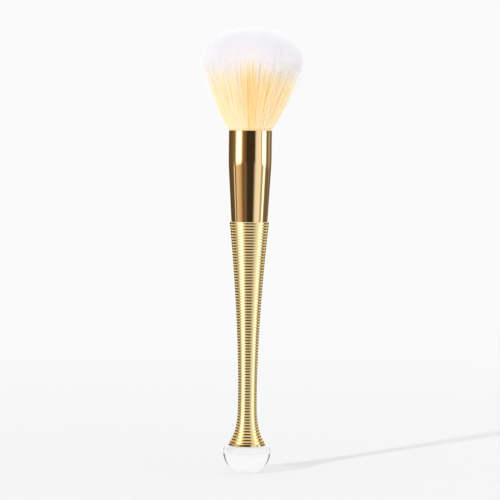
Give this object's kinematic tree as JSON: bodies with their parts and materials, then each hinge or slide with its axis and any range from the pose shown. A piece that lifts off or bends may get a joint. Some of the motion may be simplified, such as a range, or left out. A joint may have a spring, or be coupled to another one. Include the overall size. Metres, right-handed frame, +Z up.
{
  "type": "powder brush",
  "caption": "Standing cosmetic powder brush with a domed soft tuft, a plain ferrule, a slim ribbed handle and a clear ball foot.",
  "frame": {"origin": "middle of the flat under the ball, on which the brush stands", "axes": "+Z up the brush, from the ball to the top of the tuft; +X and +Y lie in the standing plane"},
  "size_m": [0.0429, 0.043, 0.1891],
  "materials": {
    "clear_glass": "clear, polished",
    "clear_glue": "clear hard glue",
    "pale_gold_plating": "hard plastic with a bright pale gold plating",
    "steel_rod": "plain drawn steel",
    "hard_glue": "amber hard glue",
    "gold_aluminium": "polished, gold coloured",
    "binding_thread": "cotton thread",
    "yellow_hair": "soft synthetic hair, yellow with white tips"
  },
  "bodies": {
    "root": {"clear_ball": "clear_glass", "ball_glue": "clear_glue", "ribbed_handle": "pale_gold_plating", "weight_rod": "steel_rod", "weight_plug": "hard_glue", "ferrule": "gold_aluminium", "ferrule_glue": "hard_glue", "root_potting": "hard_glue", "root_binding": "binding_thread", "tuft": "yellow_hair"}
  },
  "joints": []
}
